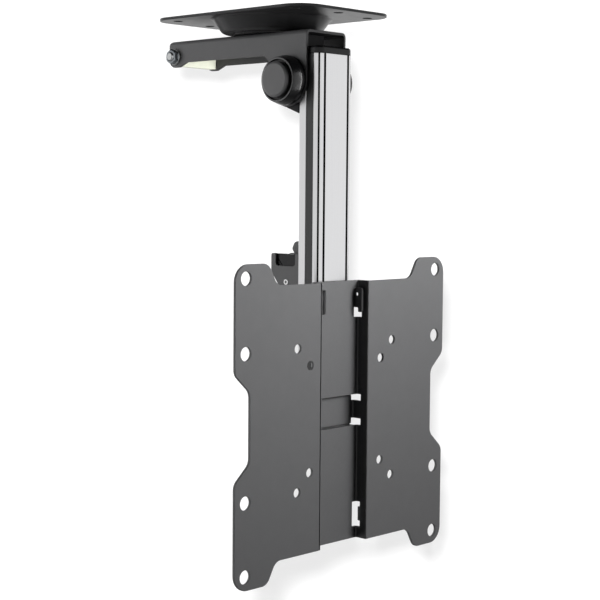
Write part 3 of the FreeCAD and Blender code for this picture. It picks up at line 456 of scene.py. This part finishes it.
def rounded_outline(points, arc_steps=6):
    """Points (a, b, radius) with each corner replaced by a tangent arc."""
    outline = []
    for i, (a, b, radius) in enumerate(points):
        here = Vector((a, b))
        if radius <= 0:
            outline.append(here)
            continue
        back = (Vector(points[i - 1][:2]) - here).normalized()
        on = (Vector(points[(i + 1) % len(points)][:2]) - here).normalized()
        half = math.acos(max(-1.0, min(1.0, back.dot(on)))) / 2
        centre = here + (back + on).normalized() * (radius / math.sin(half))
        first = here + back * (radius / math.tan(half)) - centre
        last = here + on * (radius / math.tan(half)) - centre
        sweep = first.angle_signed(last)
        for step in range(arc_steps + 1):
            turn = Matrix.Rotation(-sweep * step / arc_steps, 2)
            outline.append(centre + turn @ first)
    return outline


def turned(name, points, place, direction, steps=None):
    """A closed outline of (radius, height) points, spun round a line through place."""
    upright = direction.to_track_quat("Z", "Y").to_matrix()
    bpy.ops.object.select_all(action="DESELECT")
    bpy.ops.mesh.primitive_circle_add(vertices=len(points), radius=10 * MM)
    piece = named(name)
    for vertex, (radius, height) in zip(piece.data.vertices, points):
        vertex.co = place + upright @ Vector((radius, 0, height))
    bpy.ops.object.mode_set(mode="EDIT")
    bpy.ops.mesh.select_all(action="SELECT")
    bpy.ops.mesh.spin(steps=steps or sizes().turning_steps, angle=WHOLE_TURN,
                      center=place, axis=direction)
    bpy.ops.mesh.select_all(action="SELECT")
    bpy.ops.mesh.remove_doubles(threshold=MERGE_DISTANCE)
    bpy.ops.mesh.delete_loose()
    bpy.ops.mesh.select_all(action="SELECT")
    bpy.ops.mesh.dissolve_degenerate(threshold=MERGE_DISTANCE)
    bpy.ops.mesh.select_all(action="SELECT")
    bpy.ops.mesh.normals_make_consistent(inside=False)
    bpy.ops.object.mode_set(mode="OBJECT")
    bpy.ops.object.shade_smooth_by_angle(angle=SHARP_ANGLE)
    return piece


def hexagon(name, flats, height, place, direction, bore=0.0):
    """A nut or bolt head: a hexagonal prism whose outer corners are turned off, and its bore."""
    turn = direction.to_track_quat("Z", "Y")
    corner = flats / math.sqrt(3)
    bpy.ops.object.select_all(action="DESELECT")
    bpy.ops.mesh.primitive_cylinder_add(
        vertices=6, radius=corner, depth=height, location=place + direction * height / 2,
        rotation=turn.to_euler())
    piece = named(name)
    only(piece)
    bpy.ops.object.transform_apply(location=True, rotation=True, scale=True)
    overhang, top = 2 * corner, flats / 2 * CROWN_SHARE
    shoulder = height - (overhang - top) * math.tan(CROWN_ANGLE)
    crown = turned(name + "_crown", [
        (0, -height), (overhang, -height), (overhang, shoulder), (top, height), (0, height)],
        place, direction)
    cut(piece, crown, "INTERSECT")
    if bore:
        mouth = bore * MOUTH_SHARE
        wide = bore + mouth + height
        drill = turned(name + "_drill", [
            (0, -height), (wide, -height), (bore, mouth), (bore, height - mouth),
            (wide, 2 * height), (0, 2 * height)], place, direction)
        cut(piece, drill)
    rounded_edges(piece, sizes().fastener_edge)
    return piece


def threaded(name, radius, low, high, pitch, place, direction):
    """A bolt's shank along direction from low to high, grooved like a thread."""
    depth = pitch * THREAD_SHARE
    points = [(0, low), (radius - depth, low)]
    height = low + pitch / 2
    while height + pitch < high:
        points += [(radius, height), (radius - depth, height + pitch / 2)]
        height += pitch
    points += [(radius - depth, high), (0, high)]
    return turned(name, points, place, direction)


def washer(name, outer, inner, thickness, place, direction):
    edge = sizes().fastener_edge
    return turned(name, rounded_outline([
        (inner, 0, edge), (outer, 0, edge),
        (outer, thickness, edge * 2), (inner, thickness, edge)]), place, direction)


def joined(pieces, name):
    bpy.ops.object.select_all(action="DESELECT")
    for piece in pieces:
        piece.select_set(True)
    bpy.context.view_layer.objects.active = pieces[0]
    bpy.ops.object.join()
    return named(name)


def keep_nodes(names, finish):
    """CAD nodes whose shape is right stay, under a better finish."""
    for name in names:
        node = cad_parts[name]
        if not node.material_slots:
            node.data.materials.append(finish_named(finish))
        for slot in node.material_slots:
            slot.material = finish_named(finish)


# Pieces

class MOUNT_OT_ceiling_plate(bpy.types.Operator):
    """Pressed ceiling plate with the swivel's bolt, nut, washers and slip disc"""
    bl_idname = "mount.ceiling_plate"
    bl_label = "Ceiling Plate"

    bolt_radius = 6.0 * MM

    def execute(self, context):
        # Painted shade: the ceiling plate takes the darker satin copy of the powder coat
        softened("ceiling_plate", "pressed_ceiling_plate", "ceiling", "black_steel",
                 sizes().sheet_edge, "satin_shaded_steel")
        keep_nodes(["swivel_slip_disc"], "black_plastic")
        low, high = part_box("swivel_bolt")
        nut_low, nut_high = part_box("swivel_nut")
        head_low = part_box("swivel_washer_upper")[1].z
        flats = nut_high.y - nut_low.y
        head = hexagon("head", flats, high.z - head_low, Vector((0, 0, head_low)), Z_AXIS)
        shank = threaded("shank", self.bolt_radius, low.z, head_low + MM,
                         sizes().thread_pitch_large, Vector((0, 0, 0)), Z_AXIS)
        settled(joined([head, shank], "swivel_hex_bolt"), "ceiling", "zinc", ["swivel_bolt"])
        nut = hexagon("swivel_hex_nut", flats, nut_high.z - nut_low.z,
                      Vector((0, 0, nut_high.z)), -Z_AXIS, self.bolt_radius)
        settled(nut, "ceiling", "zinc", ["swivel_nut"])
        self.add_washer("swivel_washer_upper", "swivel_dish_washer")
        self.add_washer("swivel_washer_lower", "swivel_arm_washer")
        return {"FINISHED"}

    def add_washer(self, node, name):
        low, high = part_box(node)
        ring = washer(name, high.x, self.bolt_radius, high.z - low.z, Vector((0, 0, low.z)), Z_AXIS)
        settled(ring, "ceiling", "zinc", [node])


class MOUNT_OT_arm(bpy.types.Operator):
    """Folded arm that hangs under the ceiling plate"""
    bl_idname = "mount.arm"
    bl_label = "Arm"

    inside_by = 1.9 * MM

    def execute(self, context):
        arm = softened("arm_channel", "folded_arm", "arm", "black_steel", sizes().sheet_edge)
        self.inner_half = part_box("arm_channel")[1].x - self.inside_by
        self.ears_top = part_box("pivot_bolt")[1].z
        # Painted shade: the faces inside the channel get the near-black coat
        refinished(arm, "painted_shade_steel", self.in_channel)
        return {"FINISHED"}

    def in_channel(self, place, normal):
        """True on the faces that look into the channel, which get painted shade."""
        looks_in = normal.x * place.x < -0.5 * abs(place.x) or normal.z < -0.5
        return abs(place.x) < self.inner_half and looks_in and place.z > self.ears_top


class MOUNT_OT_pivot(bpy.types.Operator):
    """Pivot covers with their round buttons, over the pivot's bolt and discs"""
    bl_idname = "mount.pivot"
    bl_label = "Pivot"

    wall, rim_inset, bore_inset = 1.8 * MM, 1.9 * MM, 3.2 * MM
    foot_round, rim_round, bore_round, seat_round = 0.3 * MM, 0.6 * MM, 0.4 * MM, 0.2 * MM
    straight, shoulder_round = 3.7 * MM, 5.4 * MM
    button_side_drop, button_side_round = 0.9 * MM, 0.7 * MM
    button_rim_drop, button_rim_inset, button_rim_round = 0.15 * MM, 1.6 * MM, 1.0 * MM
    rim_depth = 0.1 * MM

    def execute(self, context):
        keep_nodes(["pivot_bolt", "pivot_nut", "pivot_washer_left", "pivot_washer_right",
                    "pivot_sleeve"], "zinc")
        keep_nodes(["friction_disc_left", "friction_disc_right"], "slip_plastic")
        for side, word in SIDES:
            low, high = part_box("pivot_cover_" + word)
            cap_low, cap_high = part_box("pivot_cap_" + word)
            foot = Vector((min(low.x, high.x, key=abs),
                           (low.y + high.y) / 2, (low.z + high.z) / 2))
            tall = high.x - low.x
            cover_r, cap_r = (high.y - low.y) / 2, (cap_high.y - cap_low.y) / 2
            seat = abs(min(cap_low.x, cap_high.x, key=abs)) - abs(foot.x)
            top = max(abs(cap_low.x), abs(cap_high.x)) - abs(foot.x)

            cover = turned("pivot_shell_" + word, self.cover(cover_r, cap_r, tall, seat),
                           foot, X_AXIS * side)
            settled(cover, "arm", "black_plastic", ["pivot_cover_" + word])
            # Painted highlight: the cover's rim takes the lighter button colour as a bright line
            # round it
            rim = foot.x + side * (tall - self.rim_depth)
            refinished(cover, "button_and_rim_highlight_plastic", lambda place, normal: place.x * side > rim * side)

            button = turned("pivot_button_" + word, self.button(cap_r, seat, top),
                            foot, X_AXIS * side)
            settled(button, "arm", "black_plastic", ["pivot_cap_" + word], "button_and_rim_highlight_plastic")
        return {"FINISHED"}

    def cover(self, radius, cap_r, tall, seat):
        """Section of the shell: a straight foot, a round shoulder, a rim and the button's seat."""
        rim_r, bore_r = radius - self.rim_inset, radius - self.bore_inset
        return rounded_outline([
            (radius - self.wall, 0, 0), (radius, 0, self.foot_round),
            (radius, self.straight, self.shoulder_round), (rim_r, tall, self.rim_round),
            (bore_r, tall, self.bore_round), (bore_r, seat, self.seat_round),
            (cap_r - self.wall, seat, 0), (cap_r - self.wall, seat - self.wall, 0),
            (bore_r, seat - self.wall, self.wall), (radius - self.wall, self.straight, self.wall)])

    def button(self, radius, seat, top):
        """Section of the button: a straight side, a round rim and a faint dome."""
        return rounded_outline([
            (0, seat, 0), (radius, seat, self.seat_round),
            (radius, top - self.button_side_drop, self.button_side_round),
            (radius - self.button_rim_inset, top - self.button_rim_drop, self.button_rim_round),
            (0, top, 0)])


class MOUNT_OT_stop(bpy.types.Operator):
    """Stop block in the arm's free end, with its bolt, nut and washers"""
    bl_idname = "mount.stop"
    bl_label = "Stop Block"

    bolt_radius = 3.0 * MM

    def execute(self, context):
        softened("stop_block", "moulded_stop_block", "arm", "cream_plastic",
                 2 * sizes().fastener_edge)
        low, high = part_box("stop_bolt")
        nut_low, nut_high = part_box("stop_nut")
        head_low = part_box("stop_washer_right")[1].x
        flats = nut_high.y - nut_low.y
        middle = (low + high) / 2
        axis = Vector((0, middle.y, middle.z))
        head = hexagon("head", flats, high.x - head_low, axis + X_AXIS * head_low, X_AXIS)
        shank = threaded("shank", self.bolt_radius, -head_low - MM, -low.x,
                         sizes().thread_pitch_small, axis, -X_AXIS)
        settled(joined([head, shank], "stop_hex_bolt"), "arm", "zinc", ["stop_bolt"])
        nut = hexagon("stop_hex_nut", flats, nut_high.x - nut_low.x, axis + X_AXIS * nut_high.x,
                      -X_AXIS, self.bolt_radius)
        settled(nut, "arm", "zinc", ["stop_nut"], "blue_zinc")
        for side, word in SIDES:
            low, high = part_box("stop_washer_" + word)
            foot = min(low.x, high.x, key=abs)
            ring = washer("stop_plain_washer_" + word, (high.y - low.y) / 2, self.bolt_radius,
                          high.x - low.x, axis + X_AXIS * foot, X_AXIS * side)
            settled(ring, "arm", "zinc", ["stop_washer_" + word])
        return {"FINISHED"}


class MOUNT_OT_column(bpy.types.Operator):
    """Aluminium column with its side strips and end caps"""
    bl_idname = "mount.column"
    bl_label = "Column"

    groove_x, groove_depth = 12.1 * MM, 1.6 * MM
    corner_x, corner_y, corner_half, corner_depth = 16.52 * MM, 2.05 * MM, 0.55 * MM, 1.3 * MM
    corner_rise = 0.1 * MM
    channel = (7.0 * MM, 14.2 * MM)
    skin = 0.02 * MM

    def execute(self, context):
        self.low, self.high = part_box("column_profile")
        column = softened("column_profile", "column_extrusion", "column", "aluminium",
                          sizes().profile_edge, shaped=self.drawn)
        # Painted shade: the grooves' walls, floors and lips get the near-black coat
        refinished(column, "painted_shade_steel", self.in_groove)
        for word in ("left", "right"):
            softened("side_strip_" + word, "column_strip_" + word, "column", "black_plastic",
                     sizes().moulding_edge, "strip_plastic", self.channel_forward)
        for word in ("top", "bottom"):
            softened(f"column_{word}_cap", f"column_lid_{word}", "column", "black_plastic",
                     sizes().profile_edge, shaped=self.channel_forward)
        return {"FINISHED"}

    def channel_forward(self, piece):
        """Slides the side channels forward between a front and a back that stay."""
        first, last = self.channel
        slide, depth = sizes().channel_forward, self.high.y - self.low.y

        def rule(place):
            y = place.y - self.low.y
            if y < first:
                y *= 1 - slide / first
            elif y < last:
                y -= slide
            else:
                y = depth - (depth - y) * (1 + slide / (depth - last))
            return Vector((place.x, self.low.y + y, place.z))
        shifted(piece, rule)

    def drawn(self, piece):
        """Slides the channels and opens the two front grooves to their full width."""
        self.channel_forward(piece)
        middle, tall = (self.low.z + self.high.z) / 2, self.high.z - self.low.z
        for side in (-1, 1):
            bpy.ops.object.select_all(action="DESELECT")
            bpy.ops.mesh.primitive_cube_add(
                size=1, location=(side * self.groove_x, self.low.y, middle))
            cutter = named("groove_cutter")
            cutter.scale = (sizes().front_groove, 2 * self.groove_depth, 2 * tall)
            only(cutter)
            bpy.ops.object.transform_apply(location=True, rotation=True, scale=True)
            cut(piece, cutter)

    def in_groove(self, place, normal):
        """True on the walls, floors and lips of the front and corner grooves, which get painted
        shade.
        """
        x, y = abs(place.x), place.y - self.low.y
        rim = sizes().profile_edge - self.skin
        if abs(x - self.groove_x) < sizes().front_groove / 2 + rim and y < self.groove_depth + rim:
            return y > self.skin
        slope = 1 - sizes().channel_forward / self.channel[0]
        right, back = x - self.corner_x, y / slope - self.corner_y
        across, inward = (back + right) * math.sqrt(0.5), (back - right) * math.sqrt(0.5)
        return (abs(across) < self.corner_half + rim
                and -self.corner_rise < inward < self.corner_depth + rim)


class MOUNT_OT_yoke(bpy.types.Operator):
    """Yoke between the column and the pivot, with its screws"""
    bl_idname = "mount.yoke"
    bl_label = "Yoke"

    def execute(self, context):
        # Painted shade: the yoke inside the arm takes the near-black coat
        softened("column_yoke", "folded_yoke", "column", "black_steel",
                 sizes().sheet_edge, "painted_shade_steel")
        keep_nodes(["yoke_screws", "yoke_nut_bar"], "zinc")
        return {"FINISHED"}


class MOUNT_OT_catch(bpy.types.Operator):
    """Catch bracket with the hand latch, its pin and guide blocks"""
    bl_idname = "mount.catch"
    bl_label = "Catch And Latch"

    pin_bore, pin_bore_round, pin_end_round = 0.9 * MM, 0.2 * MM, 0.4 * MM

    def execute(self, context):
        softened("catch_bracket", "folded_catch_bracket", "column", "black_steel",
                 sizes().sheet_edge)
        softened("latch_hook", "hand_latch", "latch", "black_steel", 2 * sizes().sheet_edge)
        keep_nodes(["catch_screws", "catch_nut_bar"], "zinc")
        softened("latch_guides", "latch_guide_blocks", "column", "black_plastic",
                 sizes().moulding_edge)
        low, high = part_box("latch_pin")
        middle = (low + high) / 2
        radius, half = (high.y - low.y) / 2, (high.x - low.x) / 2
        pin = turned("latch_tube_pin", rounded_outline([
            (self.pin_bore, -half, self.pin_bore_round), (radius, -half, self.pin_end_round),
            (radius, half, self.pin_end_round), (self.pin_bore, half, self.pin_bore_round)]),
            middle, X_AXIS)
        settled(pin, "column", "bright_steel", ["latch_pin"])
        return {"FINISHED"}


class MOUNT_OT_hooks(bpy.types.Operator):
    """Hook head that carries the screen plate"""
    bl_idname = "mount.hooks"
    bl_label = "Hook Head"

    def execute(self, context):
        softened("hook_head", "folded_hook_head", "column", "black_steel", sizes().sheet_edge)
        keep_nodes(["hook_head_screws", "hook_nut_bar"], "zinc")
        return {"FINISHED"}


class MOUNT_OT_screen_plate(bpy.types.Operator):
    """Folded screen plate with its channel, slots and hole patterns"""
    bl_idname = "mount.screen_plate"
    bl_label = "Screen Plate"

    wall_x, outer_round, inner_round, crisp_round = 24.0 * MM, 3.2 * MM, 1.2 * MM, 0.8 * MM
    before_wall, past_round, skin = 0.3 * MM, 0.4 * MM, 0.01 * MM

    def execute(self, context):
        softened("screen_plate", "folded_screen_plate", "column", "black_steel",
                 sizes().sheet_edge, shaped=self.crisp_fold)
        return {"FINISHED"}

    def crisp_fold(self, piece):
        """Folds the right wing's edge sharply, with no scored line, and moves its wall inward."""
        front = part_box("screen_plate")[0].y
        centre = Vector((self.wall_x + self.outer_round, front + self.outer_round))
        crisp = Vector((self.wall_x + self.crisp_round, front + self.crisp_round))
        start = self.wall_x - self.inner_round - self.before_wall
        end = centre.x + self.past_round

        def rule(place):
            x, y = place.x, place.y
            if not start < x < end:
                return place
            out = Vector((x, y)) - centre
            on_round = (out.length > 1.5 * self.inner_round and y < centre.y
                        and x > self.wall_x - self.skin)
            if on_round and (x < centre.x or y - front < self.inner_round):
                out.x = min(out.x, 0.0)
                x, y = crisp + out.normalized() * self.crisp_round
            return Vector((x - sizes().wall_inward, y, place.z))
        shifted(piece, rule)


# Studio

# The camera's right and forward, from a fit to the hole centres of the screen plate
CAMERA_RIGHT = Vector((0.6879, -0.7257, 0.0075))
CAMERA_FORWARD = Vector((0.7243, 0.6858, -0.0707))
SENSOR_WIDTH = 36

WHITE = (1, 1, 1, 1)
WALL_GREY = (0.3, 0.3, 0.3, 1)
WALL_CLEAR, WALL_PLAIN = 0.42, 0.62

# Steepness at which reflections start to darken and are dark, and how dark the floor side is
LEVEL, STEEP = 0.2, 0.55
FLOOR_DARK = 0.6
LEFT_DARK = 0.07


def soft_box(name, place, aim, width, height, power):
    """A rectangular lamp that lights the colours. Reflections come from the world instead."""
    bpy.ops.object.light_add(type="AREA", location=place)
    lamp = named(name)
    lamp.data.shape = "RECTANGLE"
    lamp.data.size, lamp.data.size_y = width, height
    lamp.data.energy = power
    lamp.rotation_mode = "QUATERNION"
    lamp.rotation_quaternion = (Vector(aim) - Vector(place)).to_track_quat("-Z", "Y")
    lamp.visible_glossy = False
    return lamp


def ray_is(finish, *kinds):
    """1 for rays of these kinds, and 0 for the rest."""
    return sum(finish.node("ShaderNodeLightPath", output=f"Is {kind} Ray") for kind in kinds)


def pale_finish(glow):
    """Pale grey that shows its shadow as grey on white, plain white round the rim of the wall."""
    finish = new_finish("studio white")
    seen = ray_is(finish, "Camera")
    place = finish.node("ShaderNodeTexCoord", output="Object")
    off_centre = finish.node("ShaderNodeVectorMath", {"operation": "LENGTH"}, {0: place}, "Value")
    diffuse = finish.node("ShaderNodeBsdfDiffuse", {}, {"Color": WALL_GREY})
    shine = finish.node("ShaderNodeEmission", {}, {"Color": WHITE, "Strength": seen * glow})
    lit = finish.node("ShaderNodeAddShader", {}, {0: diffuse, 1: shine})
    plain = finish.node("ShaderNodeEmission", {}, {"Color": WHITE, "Strength": seen})
    front = finish.node("ShaderNodeMixShader", {}, {
        0: finish.rise(off_centre, WALL_CLEAR, WALL_PLAIN), 1: lit, 2: plain})
    behind = finish.node("ShaderNodeNewGeometry", output="Backfacing")
    clear = finish.node("ShaderNodeBsdfTransparent")
    both = finish.node("ShaderNodeMixShader", {}, {0: behind, 1: front, 2: clear})
    finish.node("ShaderNodeOutputMaterial", {}, {"Surface": both})
    return finish.owner


class MOUNT_OT_studio(bpy.types.Operator):
    """Pale wall, soft lights and the camera"""
    bl_idname = "mount.studio"
    bl_label = "Studio"

    wall_width = 1.5

    def execute(self, context):
        studio = context.scene.mount_studio
        self.add_wall(studio)
        self.add_lamps(studio)
        self.add_world(context.scene, studio)
        self.add_camera(context.scene, studio)
        return {"FINISHED"}

    def add_wall(self, studio):
        """The pale wall behind the mount, square to the camera."""
        away = CAMERA_FORWARD.xy.normalized().to_3d()
        eye = Vector(studio.camera_place)
        reach = (studio.wall_distance - eye.dot(away)) / CAMERA_FORWARD.dot(away)
        bpy.ops.object.select_all(action="DESELECT")
        bpy.ops.mesh.primitive_plane_add(
            size=self.wall_width, location=eye + CAMERA_FORWARD * reach,
            rotation=(-away).to_track_quat("Z", "Y").to_euler())
        wall = named("studio_wall")
        wall.data.materials.append(pale_finish(studio.wall_glow))
        wall.visible_shadow = wall.visible_diffuse = wall.visible_glossy = False

    def add_lamps(self, studio):
        middle = Vector((0, -0.05, -0.2))
        rear = studio.rear_power
        key = soft_box("key_box", (0.3, -0.55, 0.1), (-0.02, -0.08, 0.05), 0.3, 0.3,
                       studio.key_power)
        key.data.spread = math.radians(80)
        self.light_only(key, ["folded_screen_plate"])
        block = soft_box("block_lamp", (-0.5, -0.75, -0.45), (0, 0.08, -0.04), 0.3, 0.3,
                         studio.block_power)
        self.light_only(block, ["moulded_stop_block"])
        for name, place, width, height, power in (
                ("front_box", (0.5, -0.9, -0.3), 0.6, 0.6, studio.front_power),
                ("side_box", (-0.85, 0.7, 0.0), 0.7, 0.8, studio.side_power),
                ("low_side_box", (-0.6, 0.45, -0.5), 0.5, 0.4, studio.low_side_power),
                ("right_box", (0.95, 0.45, -0.1), 0.7, 0.7, rear),
                ("back_box", (0.25, 1.0, 0.1), 0.7, 0.7, rear),
                ("top_box", (0.2, 0.3, 1.0), 0.7, 0.7, 2 * rear)):
            soft_box(name, place, middle, width, height, power)
        eye = Vector(studio.camera_place)
        wall = soft_box("wall_lamp", eye - CAMERA_RIGHT * 0.03 + Z_AXIS * 0.05,
                        eye + CAMERA_FORWARD, 0.05, 0.05, studio.wall_power)
        self.light_only(wall, ["studio_wall"])
        knob = Vector((-0.03, -0.04, -0.05))
        glint = soft_box("glint_lamp", knob + Vector((0.36, -0.71, -0.05)), knob, 0.05, 1.0,
                         studio.glint_power)
        glint.visible_glossy, glint.visible_diffuse = True, False
        self.light_only(glint, ["pivot_shell_left"])

    def light_only(self, lamp, names):
        """A lamp that lights these objects and no others."""
        receivers = bpy.data.collections.new("lit by " + lamp.name)
        for name in names:
            receivers.objects.link(bpy.data.objects[name])
        lamp.light_linking.receiver_collection = receivers

    def add_world(self, scene, studio):
        """White to the eye. Reflections see white all round, a grey floor and a dark ceiling."""
        scene.world = scene.world or bpy.data.worlds.new("studio")
        finish = Finish(scene.world)
        direction = finish.node("ShaderNodeTexCoord", output="Generated")
        height = finish.along(direction, Z_AXIS)
        level = (1 - finish.rise(height, LEVEL, STEEP)
                 - finish.rise(height * -1, LEVEL, STEEP) * FLOOR_DARK)
        side = finish.along(direction, CAMERA_RIGHT) * LEFT_DARK + (1 - LEFT_DARK)
        eye, mirror = ray_is(finish, "Camera"), ray_is(finish, "Glossy", "Transmission")
        strength = eye + mirror * level * side + (1 - eye - mirror) * studio.world_light
        light = finish.node("ShaderNodeBackground", {}, {"Color": WHITE, "Strength": strength})
        finish.node("ShaderNodeOutputWorld", {}, {"Surface": light})
        scene.view_settings.view_transform = "Standard"

    def add_camera(self, scene, studio):
        bpy.ops.object.camera_add(location=studio.camera_place)
        camera = named("camera")
        camera.data.sensor_width = SENSOR_WIDTH
        camera.data.lens = studio.lens
        camera.data.clip_start, camera.data.clip_end = 0.05, 20
        up = CAMERA_RIGHT.cross(CAMERA_FORWARD)
        axes = Matrix((CAMERA_RIGHT, up, -CAMERA_FORWARD)).transposed()
        camera.rotation_mode = "QUATERNION"
        camera.rotation_quaternion = axes.to_quaternion()
        scene.camera = camera


class MOUNT_PT_panel(bpy.types.Panel):
    bl_idname = "MOUNT_PT_panel"
    bl_label = "Ceiling Mount"
    bl_space_type = "VIEW_3D"
    bl_region_type = "UI"
    bl_category = "Ceiling Mount"

    def draw(self, context):
        scene = context.scene
        for group in (scene.mount_sizes, scene.mount_colours, scene.mount_studio):
            column = self.layout.column(align=True)
            for name in group.__annotations__:
                column.prop(group, name)
        for operator in OPERATORS:
            self.layout.operator(operator.bl_idname)


OPERATORS = (MOUNT_OT_ceiling_plate, MOUNT_OT_arm, MOUNT_OT_pivot, MOUNT_OT_stop, MOUNT_OT_column,
             MOUNT_OT_yoke, MOUNT_OT_catch, MOUNT_OT_hooks, MOUNT_OT_screen_plate, MOUNT_OT_studio)
GROUPS = {"mount_sizes": MountSizes, "mount_colours": MountColours, "mount_studio": MountStudio}


def register():
    for group in (*GROUPS.values(), *OPERATORS, MOUNT_PT_panel):
        bpy.utils.register_class(group)
    for name, group in GROUPS.items():
        setattr(bpy.types.Scene, name, bpy.props.PointerProperty(type=group))


def unregister():
    for name in GROUPS:
        delattr(bpy.types.Scene, name)
    for group in (MOUNT_PT_panel, *OPERATORS, *GROUPS.values()):
        bpy.utils.unregister_class(group)


def main():
    register()
    for operator in OPERATORS:
        group, name = operator.bl_idname.split(".")
        getattr(getattr(bpy.ops, group), name)()


if __name__ == "__main__":
    main()
